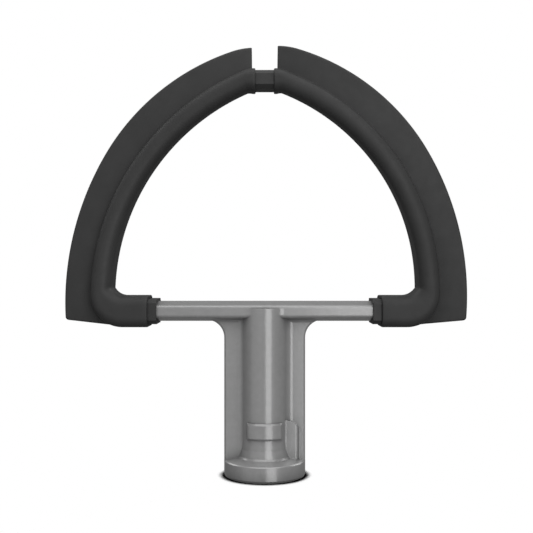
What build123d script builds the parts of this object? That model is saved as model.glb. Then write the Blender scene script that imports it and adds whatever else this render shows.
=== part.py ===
"""Flat beater for a tilt-head stand mixer, standing upside down on its hub's collar.

Millimetres, +Z up. The origin is the centre of the collar's rim, where the drive shaft goes in.
The front is -Y. Half a turn about Z brings the beater onto itself, apart from the locking groove
in the hub, so the left-hand pieces are the right-hand ones turned by 180 degrees.
"""
import os
from dataclasses import dataclass
from math import atan2, cos, degrees, hypot, pi, radians, sin, sqrt, tan

from build123d import *

# Drive shaft and its cross pin, which the hub has to take
SHAFT_DIAMETER = 12.7
SHAFT_CLEARANCE = 0.2
SHAFT_DEPTH = 46.0
PIN_DIAMETER = 4.8
PIN_CLEARANCE = 0.4
PIN_REACH = 7.2
PIN_SEAT_HEIGHT = 16.2
PIN_ENTRY_ANGLE = 90.0
PIN_SEAT_ANGLE = -24.0
MOUTH_CHAMFER = 0.6

# Hub casting, below the crossbar
COLLAR_DIAMETER = 28.2
COLLAR_HEIGHT = 5.6
COLLAR_TOP_RISE = 0.9
COLLAR_EDGE_CHAMFER = 0.35
RIM_ROUND = 0.8
COLUMN_DIAMETER = 16.3
COLUMN_TOP_DROP = 1.0
COLUMN_BLEND = 4.6
FOOT_DIAMETER = 18.4
FOOT_EDGE_CHAMFER = 0.6
FOOT_WAIST_DIAMETER = 16.9
FOOT_WAIST_RISE = 3.1
FOOT_HEIGHT = 6.4

# Side webs, with the corners in which they meet the crossbar
WEB_SPAN = 28.0
WEB_THICKNESS = 5.0
WEB_FILLET = 3.0
WEB_EDGE_CHAMFER = 0.55
WEB_CORNER_RADIUS = 6.1
WEB_CORNER_DROP = 9.1
WEB_CORNER_TURN = 70.0
WEB_FLARE_RADIUS = 1.5

# Pad over the locking groove, and boss round the pin's way in
PAD_STAND = 1.05
PAD_WIDTH = 12.0
PAD_HEIGHT = 5.7
PAD_CHAMFER = 0.6
BOSS_WIDTH = 8.4
BOSS_REACH = 11.6
BOSS_TOP = 19.6
BOSS_TOP_REACH = 12.6
BOSS_TOP_ROUND = 5.5
BOSS_EDGE_ROUND = 1.0
BOSS_COLUMN_FILLET = 0.9
BOSS_WEB_FILLET = 0.6

# Crossbar, an elongated hexagon that narrows both ways from the parting line
BAR_LEVEL = 57.05
BAR_HEIGHT = 7.0
BAR_FACE_HEIGHT = 4.1
BAR_DEPTH = 12.6
BAR_EDGE_ROUND = 1.2
TENON_LENGTH = 12.5

# Bow, the loop's arched frame with its rubber sleeve
OPENING_WIDTH = 105.9
TOP_RISE = 80.0
SLEEVE_WIDTH = 7.0
SLEEVE_ROUND = 3.3
SLEEVE_WALL = 0.8
CUFF_HEIGHT = 10.8
CUFF_DEPTH = 16.2
CUFF_WALL = 1.1
CUFF_CHAMFER = 0.4
SLEEVE_START = 40.0
FRAME_CUFF_LENGTH = 3.0
CORNER_RADIUS = 11.2
INNER_CORNER_RADIUS = 5.4
INNER_CORNER_TURN = 59.0
TOP_WIDTH = 8.0
TOP_DEPTH = 10.8
TOP_GAP = 6.4
TOP_CORNER_RUN = 2.6
TOP_BEND_RADIUS = 8.0
FRAME_BEVEL = 1.3
BOW_SWING = 3.2

# Blade, the thin rubber edge that wipes the bowl
BLADE_WIDTH = 10.07
BLADE_ROOT_THICKNESS = 3.0
BLADE_EDGE_THICKNESS = 1.4
BLADE_LOWER_RADIUS = 101.2
BLADE_LOWER_TURN = 30.2
BLADE_WIDEST_DROP = 1.7
BLADE_BOTTOM_RISE = 2.2
BLADE_CORNER_ROUND = 1.2
BLADE_TIP_RISE = 8.0
BLADE_TIP_SETBACK = 1.2
BLADE_TIP_RUN = 7.4
BLADE_TIP_DROP = 1.24
BLADE_TIP_ROUND = 0.45
BLADE_END_LEAN = 1.95
BLADE_MID_LEAN = 4.03
BLADE_HEEL_RISE = 0.1
BLADE_SHEET_START = -14.0
BLADE_SHEET_END = 82.0
BLADE_SHEET_SPARE = 15.1

# Straight steps in which the pieces along the bow follow its curves
CORNER_STEPS = 6
ARC_STEPS = 12
TOP_STEPS = 4
BLADE_STEPS = 8

# How near an edge or a corner is to where it is looked for
TOUCH = 0.01

# Sizes that follow from the ones above
BORE_RADIUS = (SHAFT_DIAMETER + SHAFT_CLEARANCE) / 2
SLOT_WIDTH = PIN_DIAMETER + PIN_CLEARANCE
SLOT_RADIUS = PIN_REACH + PIN_CLEARANCE / 2
COLUMN_RADIUS = COLUMN_DIAMETER / 2
COLLAR_RADIUS = COLLAR_DIAMETER / 2
COLLAR_TOP = COLLAR_HEIGHT + COLLAR_TOP_RISE
WEB_HALF = WEB_THICKNESS / 2
BAR_UNDERSIDE = BAR_LEVEL - BAR_FACE_HEIGHT / 2
BAR_SLOPE = atan2((BAR_HEIGHT - BAR_FACE_HEIGHT) / 2, BAR_DEPTH / 2)
FRAME_START = SLEEVE_START - FRAME_CUFF_LENGTH
BAR_HALF_LENGTH = FRAME_START + TENON_LENGTH
CUFF_BOTTOM = BAR_LEVEL - CUFF_HEIGHT / 2
CUFF_TOP = BAR_LEVEL + CUFF_HEIGHT / 2
TOP_LEVEL = BAR_LEVEL + TOP_RISE

# Centre line of the right-hand bow: upright where the loop is widest, and through the top corner
BOW_LEVEL = CUFF_BOTTOM + CORNER_RADIUS
BOW_WIDEST = (OPENING_WIDTH + SLEEVE_WIDTH) / 2
TOP_CORNER_X = TOP_GAP / 2 + TOP_CORNER_RUN
BOW_RUN = BOW_WIDEST - TOP_CORNER_X
BOW_CLIMB = TOP_LEVEL - BOW_LEVEL
BOW_RADIUS = (BOW_RUN**2 + BOW_CLIMB**2) / (2 * BOW_RUN)
BOW_CENTRE_X = BOW_WIDEST - BOW_RADIUS


@dataclass(frozen=True)
class Station:
    """A cross-section of the right-hand bow, between an inner and an outer point in the XZ plane."""

    inner: Vector
    outer: Vector
    share: float

    def plane(self):
        """Plane of the section: x from the inner to the outer point, y towards the front."""
        across = (self.outer - self.inner).normalized()
        middle = (self.inner + self.outer) / 2
        origin = Vector(middle.X, -bow_swing(self.share), middle.Y)
        return Plane(origin, x_dir=(across.X, 0, across.Y), z_dir=(across.Y, 0, -across.X))

    def width(self):
        """Width of the sleeve in the plane of the loop."""
        return (self.outer - self.inner).length

    def depth(self):
        """Depth of the sleeve from front to back, which tapers from the cuff to the top."""
        return CUFF_DEPTH + (TOP_DEPTH - CUFF_DEPTH) * sin(pi / 2 * self.share)


def bow_swing(share):
    """How far the bow stands forward of the middle plane, at a share of the way up."""
    return BOW_SWING * sin(pi * share)


def on_circle(centre, radius, angle):
    """Point on a circle in the XZ plane, at an angle in radians from +X towards +Z."""
    return centre + Vector(radius * cos(angle), radius * sin(angle))


def bow_angle(point):
    """Angle of a point about the bow's centre."""
    return atan2(point.Y - BOW_CENTRE.Y, point.X - BOW_CENTRE.X)


BOW_CENTRE = Vector(BOW_CENTRE_X, BOW_LEVEL)
BOW_INNER_RADIUS = BOW_RADIUS - SLEEVE_WIDTH / 2
BOW_OUTER_RADIUS = BOW_RADIUS + SLEEVE_WIDTH / 2

# Corner at the crossbar: the outer side is one arc, the inner side a smaller hollow
CORNER_CENTRE = Vector(BOW_CENTRE_X + BOW_OUTER_RADIUS - CORNER_RADIUS, BOW_LEVEL)
HOLLOW_TURN = radians(INNER_CORNER_TURN)
HOLLOW_LEVEL = CUFF_TOP + INNER_CORNER_RADIUS
HOLLOW_END_LEVEL = HOLLOW_LEVEL - INNER_CORNER_RADIUS * cos(HOLLOW_TURN)
HOLLOW_END_X = BOW_CENTRE_X + sqrt(BOW_INNER_RADIUS**2 - (HOLLOW_END_LEVEL - BOW_LEVEL) ** 2)
HOLLOW_CENTRE = Vector(HOLLOW_END_X - INNER_CORNER_RADIUS * sin(HOLLOW_TURN), HOLLOW_LEVEL)

# Bend at the top, which turns the bow level with the bar in the gap
TOP_BEND_LEVEL = TOP_LEVEL - TOP_BEND_RADIUS
TOP_BEND_RUN = sqrt((BOW_RADIUS - TOP_BEND_RADIUS) ** 2 - (TOP_BEND_LEVEL - BOW_LEVEL) ** 2)
TOP_BEND_CENTRE = Vector(BOW_CENTRE_X + TOP_BEND_RUN, TOP_BEND_LEVEL)
TOP_BEND_ANGLE = bow_angle(TOP_BEND_CENTRE)
CUFF_ANGLE = bow_angle(Vector(CORNER_CENTRE.X, BAR_LEVEL))
TOP_ANGLE = bow_angle(Vector(TOP_BEND_CENTRE.X, TOP_LEVEL))


def bow_share(point):
    """Share of the way up the bow, 0 where the cuff ends and 1 where the top is level."""
    return (bow_angle(point) - CUFF_ANGLE) / (TOP_ANGLE - CUFF_ANGLE)


def cuff_station(x):
    """Upright section of the cuff that lies along the crossbar."""
    return Station(Vector(x, CUFF_TOP), Vector(x, CUFF_BOTTOM), 0)


def corner_station(turn):
    """Section of the corner, from 0 where the cuff ends to 1 where the bow stands upright."""
    outer = on_circle(CORNER_CENTRE, CORNER_RADIUS, (turn - 1) * pi / 2)
    inner = on_circle(HOLLOW_CENTRE, INNER_CORNER_RADIUS, turn * HOLLOW_TURN - pi / 2)
    return Station(inner, outer, bow_share((inner + outer) / 2) if turn else 0)


def arc_station(angle):
    """Section of the long arc, square to it."""
    inner = on_circle(BOW_CENTRE, BOW_INNER_RADIUS, angle)
    outer = on_circle(BOW_CENTRE, BOW_OUTER_RADIUS, angle)
    return Station(inner, outer, bow_share((inner + outer) / 2))


def top_station(turn):
    """Section of the top bend, from 0 on the long arc to 1 where it is level."""
    angle = TOP_BEND_ANGLE + turn * (pi / 2 - TOP_BEND_ANGLE)
    half = (SLEEVE_WIDTH + turn * (TOP_WIDTH - SLEEVE_WIDTH)) / 2
    inner = on_circle(TOP_BEND_CENTRE, TOP_BEND_RADIUS - half, angle)
    outer = on_circle(TOP_BEND_CENTRE, TOP_BEND_RADIUS + half, angle)
    return Station(inner, outer, bow_share((inner + outer) / 2))


def end_station(x):
    """Upright section of the level end beside the gap."""
    half = TOP_WIDTH / 2
    return Station(Vector(x, TOP_LEVEL - half), Vector(x, TOP_LEVEL + half), 1)


def corner_stations():
    """Sections round the corner, cuff first, up to where the bow stands upright."""
    return [corner_station(i / CORNER_STEPS) for i in range(CORNER_STEPS + 1)]


def arc_stations():
    """Evenly spaced sections of the long arc, between the corner and the top bend."""
    climb = [i / ARC_STEPS * TOP_BEND_ANGLE for i in range(1, ARC_STEPS)]
    return [arc_station(angle) for angle in climb]


def top_stations():
    """Sections of the top bend."""
    return [top_station(i / TOP_STEPS) for i in range(TOP_STEPS + 1)]


def bow_stations():
    """Sections of the whole bow, from the cuff to the top's level end."""
    return corner_stations() + arc_stations() + top_stations()


def sleeve_section(station, inset=0):
    """Rounded outline of the rubber sleeve, drawn in by an inset."""
    outline = RectangleRounded(
        station.width() - 2 * inset, station.depth() - 2 * inset, SLEEVE_ROUND - inset
    )
    return station.plane() * outline


def frame_section(station, wall=SLEEVE_WALL):
    """Bevelled outline of the stiff frame, a wall's thickness inside the sleeve."""
    bar = Rectangle(station.width() - 2 * wall, station.depth() - 2 * wall)
    return station.plane() * chamfer(bar.vertices(), FRAME_BEVEL)


def half_turn(piece):
    """The left-hand twin of a right-hand piece."""
    return piece.rotate(Axis.Z, 180)


def crossbar():
    """Hexagonal bar with its ends, which run on into the frame as tenons."""
    half = BAR_HEIGHT / 2
    face = BAR_FACE_HEIGHT / 2
    depth = BAR_DEPTH / 2
    points = [(0, half), (depth, face), (depth, -face), (0, -half), (-depth, -face), (-depth, face)]
    section = Plane.YZ * Pos(0, BAR_LEVEL) * Polygon(*points, align=None)
    return extrude(section, BAR_HALF_LENGTH, both=True)


def on_bar_faces(edge):
    """Whether an edge lies on the crossbar's front or back face."""
    return abs(abs(edge.center().Y) - BAR_DEPTH / 2) < TOUCH


def on_bar_bevels(edge):
    """Whether an edge lies level with the ends of the crossbar's bevels."""
    return abs(abs(edge.center().Z - BAR_LEVEL) - BAR_FACE_HEIGHT / 2) < TOUCH


def tee():
    """Crossbar on the column, blended into each other, with the bar's long edges rounded."""
    column_top = BAR_LEVEL + BAR_FACE_HEIGHT / 2 - COLUMN_TOP_DROP
    column = Pos(0, 0, COLLAR_HEIGHT) * extrude(Circle(COLUMN_RADIUS), column_top - COLLAR_HEIGHT)
    solid = crossbar() + column
    upright = solid.edges().filter_by(Axis.Z).filter_by(on_bar_faces)
    upright = upright.filter_by(lambda edge: abs(edge.center().X) < COLUMN_RADIUS)
    solid = fillet(upright, COLUMN_BLEND)
    long_edges = solid.edges().filter_by(Axis.X).filter_by(on_bar_faces).filter_by(on_bar_bevels)
    return fillet(long_edges, BAR_EDGE_ROUND)


def web_core():
    """Inner part of both webs with the hollows that run into the column."""
    section = Circle(COLUMN_RADIUS) + Rectangle(WEB_SPAN - WEB_FILLET, WEB_THICKNESS)
    hollows = section.vertices().filter_by(lambda v: v.center().length < COLUMN_RADIUS + TOUCH)
    section = fillet(hollows, WEB_FILLET)
    return Pos(0, 0, COLLAR_HEIGHT) * extrude(section, BAR_LEVEL - COLLAR_HEIGHT)


def web_outline(inset=0):
    """Right-hand web from the front: its upright edge, its corner's arc and the run on to the bar."""
    edge = WEB_SPAN / 2 - inset
    centre = (WEB_SPAN / 2 + WEB_CORNER_RADIUS, BAR_LEVEL - WEB_CORNER_DROP)
    arc = CenterArc(centre, WEB_CORNER_RADIUS + inset, 180, -WEB_CORNER_TURN)
    rise = BAR_UNDERSIDE - (arc @ 1).Y
    run_end = arc @ 1 + Vector(rise * tan(radians(WEB_CORNER_TURN)), rise)
    bottom = COLLAR_HEIGHT - COLLAR_EDGE_CHAMFER
    rest = Polyline(
        arc @ 0, (edge, bottom), (0, bottom), (0, BAR_LEVEL), (run_end.X, BAR_LEVEL), run_end, arc @ 1
    )
    return make_face([arc, rest])


def web():
    """Plate of the right-hand web, chamfered along its free edge."""
    plate = extrude(Plane.XZ * web_outline(), WEB_HALF, both=True)
    rim = plate.edges().filter_by(lambda edge: abs(abs(edge.center().Y) - WEB_HALF) < TOUCH)
    rim = rim.filter_by(lambda edge: edge.center().X > WEB_SPAN / 2 - TOUCH)
    free = rim.filter_by(lambda edge: edge.center().Z < BAR_UNDERSIDE)
    return chamfer(free, WEB_EDGE_CHAMFER)


def web_flare():
    """Fillets along the right-hand web's top, between its two faces and the bar's underside."""
    level = BAR_LEVEL - BAR_HEIGHT / 2 + WEB_HALF * tan(BAR_SLOPE)
    reach = WEB_FLARE_RADIUS * tan((pi / 2 - BAR_SLOPE) / 2)
    end = Vector(WEB_HALF + reach * cos(BAR_SLOPE), level + reach * sin(BAR_SLOPE))
    centre = Vector(WEB_HALF + WEB_FLARE_RADIUS, level - reach)
    points = [(0, centre.Y), (centre.X, centre.Y), (end.X, end.Y), (end.X, BAR_LEVEL), (0, BAR_LEVEL)]
    section = Polygon(*points, align=None) - Pos(centre.X, centre.Y) * Circle(WEB_FLARE_RADIUS)
    front = extrude(Plane.XZ * web_outline(WEB_EDGE_CHAMFER), BAR_DEPTH, both=True)
    flare = extrude(Plane.YZ * section, WEB_SPAN) & front
    return flare + flare.mirror(Plane.XZ)


def collar():
    """Round collar with its flared foot, turned from one profile."""
    rim = RIM_ROUND * (1 - sqrt(0.5))
    side_top = COLLAR_HEIGHT - COLLAR_EDGE_CHAMFER
    profile = Polygon(
        (0, 0),
        (COLLAR_RADIUS - RIM_ROUND, 0),
        (COLLAR_RADIUS - rim, rim),
        (COLLAR_RADIUS, RIM_ROUND),
        (COLLAR_RADIUS, side_top),
        (COLLAR_RADIUS - COLLAR_EDGE_CHAMFER, COLLAR_HEIGHT),
        (FOOT_DIAMETER / 2 + FOOT_EDGE_CHAMFER, COLLAR_TOP),
        (FOOT_DIAMETER / 2, COLLAR_TOP + FOOT_EDGE_CHAMFER),
        (FOOT_WAIST_DIAMETER / 2, COLLAR_TOP + FOOT_WAIST_RISE),
        (COLUMN_RADIUS, COLLAR_TOP + FOOT_HEIGHT),
        (0, COLLAR_TOP + FOOT_HEIGHT),
        align=None,
    )
    return revolve(Plane.XZ * profile, Axis.Z)


def nearest_to_axis(edge):
    """Distance from the column's axis to the nearer end of an edge."""
    return min(hypot(vertex.X, vertex.Y) for vertex in edge.vertices())


def groove_pad():
    """Raised band on the column's front, the wall over the locking groove."""
    outside = COLUMN_RADIUS + PAD_STAND
    band = Cylinder(outside, PAD_HEIGHT)
    pad = band & Pos(0, -outside / 2) * Box(PAD_WIDTH, outside, PAD_HEIGHT)
    rim = pad.edges().filter_by(lambda edge: nearest_to_axis(edge) > outside - TOUCH)
    return Pos(0, 0, PIN_SEAT_HEIGHT) * chamfer(rim, PAD_CHAMFER)


def pin_boss():
    """Boss on the right-hand web, the wall round the pin's way in."""
    start = COLUMN_RADIUS / 2
    middle = (start + BOSS_REACH) / 2
    block = Pos(middle, 0) * Rectangle(BOSS_REACH - start, BOSS_WIDTH)
    block = fillet(block.vertices().filter_by(lambda v: v.X > middle), BOSS_EDGE_ROUND)
    strip = Pos(WEB_SPAN / 4, 0) * Rectangle(WEB_SPAN / 2, WEB_THICKNESS)
    section = Circle(COLUMN_RADIUS) + strip + block
    roots = section.vertices().filter_by(lambda v: abs(v.center().length - COLUMN_RADIUS) < TOUCH)
    section = fillet(roots, BOSS_COLUMN_FILLET)
    ends = section.vertices().filter_by(lambda v: abs(abs(v.Y) - WEB_HALF) < TOUCH and v.X > middle)
    section = fillet(ends.filter_by(lambda v: v.X < BOSS_REACH + TOUCH), BOSS_WEB_FILLET)
    section -= Pos(start - COLUMN_DIAMETER, 0) * Rectangle(2 * COLUMN_DIAMETER, 2 * COLUMN_DIAMETER)
    body = Pos(0, 0, COLLAR_HEIGHT) * extrude(section, BOSS_TOP)
    corners = [(0, COLLAR_HEIGHT), (BOSS_TOP_REACH, COLLAR_HEIGHT), (BOSS_TOP_REACH, BOSS_TOP), (0, BOSS_TOP)]
    front = Polygon(*corners, align=None)
    front = fillet(front.vertices().sort_by_distance(corners[2])[0], BOSS_TOP_ROUND)
    return body & extrude(Plane.XZ * front, BOSS_WIDTH, both=True)


def shaft_socket():
    """The space that the shaft and its cross pin need: bore, way in and locking groove."""
    bore = extrude(Circle(BORE_RADIUS), SHAFT_DEPTH)
    mouth = Cone(BORE_RADIUS + MOUTH_CHAMFER, BORE_RADIUS, MOUTH_CHAMFER)
    mouth = Pos(0, 0, MOUTH_CHAMFER / 2) * mouth
    way_in = Pos(0, -SLOT_RADIUS / 2) * Rectangle(SLOT_WIDTH, SLOT_RADIUS)
    way_in = extrude(Rot(0, 0, PIN_ENTRY_ANGLE) * way_in, PIN_SEAT_HEIGHT + SLOT_WIDTH / 2)
    groove_profile = Pos(SLOT_RADIUS / 2, PIN_SEAT_HEIGHT) * Rectangle(SLOT_RADIUS, SLOT_WIDTH)
    sweep_angle = PIN_ENTRY_ANGLE - PIN_SEAT_ANGLE
    groove = revolve(Plane.XZ * groove_profile, Axis.Z, revolution_arc=sweep_angle)
    groove = groove.rotate(Axis.Z, PIN_SEAT_ANGLE - 90)
    seat = Rot(0, 0, PIN_SEAT_ANGLE) * Pos(0, 0, PIN_SEAT_HEIGHT) * Rot(90, 0, 0)
    seat = seat * extrude(Circle(SLOT_WIDTH / 2), SLOT_RADIUS)
    return (bore + mouth) + way_in + groove + (seat & Cylinder(SLOT_RADIUS, 3 * SHAFT_DEPTH))


def hub_casting():
    """The cast metal tee: collar, column, webs and crossbar in one piece."""
    side = web() + web_flare()
    solid = tee() + web_core() + side + half_turn(side)
    solid += collar() + groove_pad() + pin_boss()
    return solid - shaft_socket()


def frame_wall(station):
    """Wall of the sleeve round the corner, from the cuff's to the bow's."""
    widest = CUFF_HEIGHT - SLEEVE_WIDTH
    return SLEEVE_WALL + (CUFF_WALL - SLEEVE_WALL) * (station.width() - SLEEVE_WIDTH) / widest


def right_frame():
    """Right-hand half of the stiff frame, from the cuff's end to the middle of the top."""
    sections = [frame_section(cuff_station(FRAME_START), CUFF_WALL)]
    sections += [frame_section(station, frame_wall(station)) for station in corner_stations()]
    sections += [frame_section(station) for station in arc_stations() + top_stations()]
    sections.append(frame_section(end_station(0)))
    return loft(sections, ruled=True)


def loop_frame():
    """The stiff arched frame in one piece, moulded round the crossbar's tenons."""
    half = right_frame()
    return half + half_turn(half) - tee()


def sleeve():
    """Rubber sleeve over the right-hand half of the frame, with a lip at each end."""
    sections = [sleeve_section(cuff_station(SLEEVE_START), CUFF_CHAMFER)]
    sections.append(sleeve_section(cuff_station(SLEEVE_START + CUFF_CHAMFER)))
    sections += [sleeve_section(station) for station in bow_stations()]
    sections.append(sleeve_section(end_station(TOP_GAP / 2 + CUFF_CHAMFER)))
    sections.append(sleeve_section(end_station(TOP_GAP / 2), CUFF_CHAMFER))
    return loft(sections, ruled=True)


def blade_outline():
    """Outline of the right-hand blade in the XZ plane, with its root inside the sleeve."""
    widest = OPENING_WIDTH / 2 + SLEEVE_WIDTH + BLADE_WIDTH
    lower_centre = Vector(widest - BLADE_LOWER_RADIUS, BOW_LEVEL - BLADE_WIDEST_DROP)
    bottom = CUFF_BOTTOM + BLADE_BOTTOM_RISE
    bottom_angle = -degrees(atan2(lower_centre.Y - bottom, BLADE_LOWER_RADIUS))
    lower = CenterArc(
        lower_centre, BLADE_LOWER_RADIUS, bottom_angle, BLADE_LOWER_TURN - bottom_angle
    )
    tip = Vector(TOP_GAP / 2 + BLADE_TIP_SETBACK, TOP_LEVEL + TOP_WIDTH / 2 + BLADE_TIP_RISE)
    shoulder = tip + Vector(BLADE_TIP_RUN, -BLADE_TIP_DROP)
    upper = TangentArc(lower @ 1, shoulder, tangent=lower % 1)
    crown = TangentArc(shoulder, tip, tangent=upper % 1)
    root_top = Vector(tip.X, TOP_LEVEL)
    root_mid = on_circle(BOW_CENTRE, BOW_RADIUS, radians(BLADE_LOWER_TURN))
    root_low = Vector(BOW_WIDEST, BOW_LEVEL)
    heel = Vector(CORNER_CENTRE.X, BAR_LEVEL)
    heel_low = Vector(CORNER_CENTRE.X, CUFF_BOTTOM + BLADE_HEEL_RISE)
    root = ThreePointArc(root_top, root_mid, root_low)
    rest = Polyline(root_low, heel, heel_low, lower @ 0)
    outline = make_face([lower, upper, crown, Line(tip, root_top), root, rest])
    corner = outline.vertices().sort_by_distance(lower @ 0)[0]
    outline = fillet(corner, BLADE_CORNER_ROUND)
    point = outline.vertices().sort_by_distance(tip)[0]
    return fillet(point, BLADE_TIP_ROUND)


def blade_slice(angle):
    """Wedge-shaped section of the blade's sheet, in a plane through the bow's centre."""
    share = (angle - CUFF_ANGLE) / (TOP_ANGLE - CUFF_ANGLE)
    root = bow_swing(share)
    edge = BLADE_END_LEAN + (BLADE_MID_LEAN - BLADE_END_LEAN) * sin(pi * share)
    crease = BOW_OUTER_RADIUS
    lean = (edge - root) / (crease + BLADE_WIDTH - BOW_RADIUS)
    taper = (BLADE_ROOT_THICKNESS - BLADE_EDGE_THICKNESS) / 2 / BLADE_WIDTH

    def corner(radius, side):
        """Corner of the slice at a radius, on the front or the back."""
        half = BLADE_ROOT_THICKNESS / 2 - taper * (radius - crease)
        return (radius, root + lean * (radius - BOW_RADIUS) + side * half)

    near = BOW_RADIUS - BLADE_SHEET_SPARE
    far = crease + BLADE_SHEET_SPARE
    outline = Polygon(corner(near, -1), corner(far, -1), corner(far, 1), corner(near, 1), align=None)
    plane = Plane(
        (BOW_CENTRE.X, 0, BOW_CENTRE.Y),
        x_dir=(cos(angle), 0, sin(angle)),
        z_dir=(sin(angle), 0, -cos(angle)),
    )
    return plane * outline


def blade():
    """The right-hand blade: its outline cut from a thin, bowed and tapered sheet."""
    turn = (BLADE_SHEET_END - BLADE_SHEET_START) / BLADE_STEPS
    slices = [blade_slice(radians(BLADE_SHEET_START + i * turn)) for i in range(BLADE_STEPS + 1)]
    return extrude(Plane.XZ * blade_outline(), CUFF_DEPTH, both=True) & loft(slices)


def right_edge():
    """Sleeve and blade moulded as one, hollow where the frame runs through."""
    return sleeve() + blade() - right_frame()


def build():
    """Every piece of the beater by its node's name."""
    edge = right_edge()
    return {
        "hub_casting": hub_casting(),
        "loop_frame": loop_frame(),
        "right_silicone_edge": edge,
        "left_silicone_edge": half_turn(edge),
    }


os.makedirs("parts", exist_ok=True)
for name, piece in build().items():
    export_step(piece, f"parts/{name}.step")
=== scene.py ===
"""Looks of a stand mixer's flat beater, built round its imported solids.

Metres, +Z up, the front is -Y, and the origin is the centre of the collar's rim, as in the solids.
The cast hub and the stiff frame keep their solids and get procedural finishes. The two silicone
edges follow one rule from the crossbar to the gap at the top, so a node tree sweeps them.
"""
import logging
from dataclasses import dataclass
from enum import Enum
from math import acos, atan2, cos, pi, radians, sin, sqrt
from typing import Callable, Mapping, Sequence

import bmesh
import bpy
from mathutils import Matrix, Vector

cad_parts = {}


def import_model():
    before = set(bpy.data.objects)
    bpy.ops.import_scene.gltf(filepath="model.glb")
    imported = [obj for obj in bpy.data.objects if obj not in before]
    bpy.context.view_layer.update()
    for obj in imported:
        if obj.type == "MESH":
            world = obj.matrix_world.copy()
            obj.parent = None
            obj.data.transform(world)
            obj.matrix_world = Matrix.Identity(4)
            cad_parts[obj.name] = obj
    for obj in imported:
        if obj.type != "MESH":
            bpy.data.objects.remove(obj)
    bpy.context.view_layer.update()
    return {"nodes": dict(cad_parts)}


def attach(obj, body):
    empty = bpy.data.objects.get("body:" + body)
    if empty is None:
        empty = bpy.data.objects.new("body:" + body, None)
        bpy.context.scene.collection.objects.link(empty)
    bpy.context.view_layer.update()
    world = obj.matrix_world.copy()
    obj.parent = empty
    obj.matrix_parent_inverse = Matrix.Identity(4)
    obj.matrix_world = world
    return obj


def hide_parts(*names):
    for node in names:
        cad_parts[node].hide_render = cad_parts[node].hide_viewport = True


MM = 0.001
FRONT = (0.0, -1.0, 0.0)
# Nearly all of a noise lies in this range.
NOISE_RANGE = (0.3, 0.7)
# Steps round a corner of the blade's outline.
ROUND_STEPS = 8
# Distance in metres within which a point counts as on a line.
ON_LINE = 1e-9
LOG = logging.getLogger("flat_beater")


# Shared helpers


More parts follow.
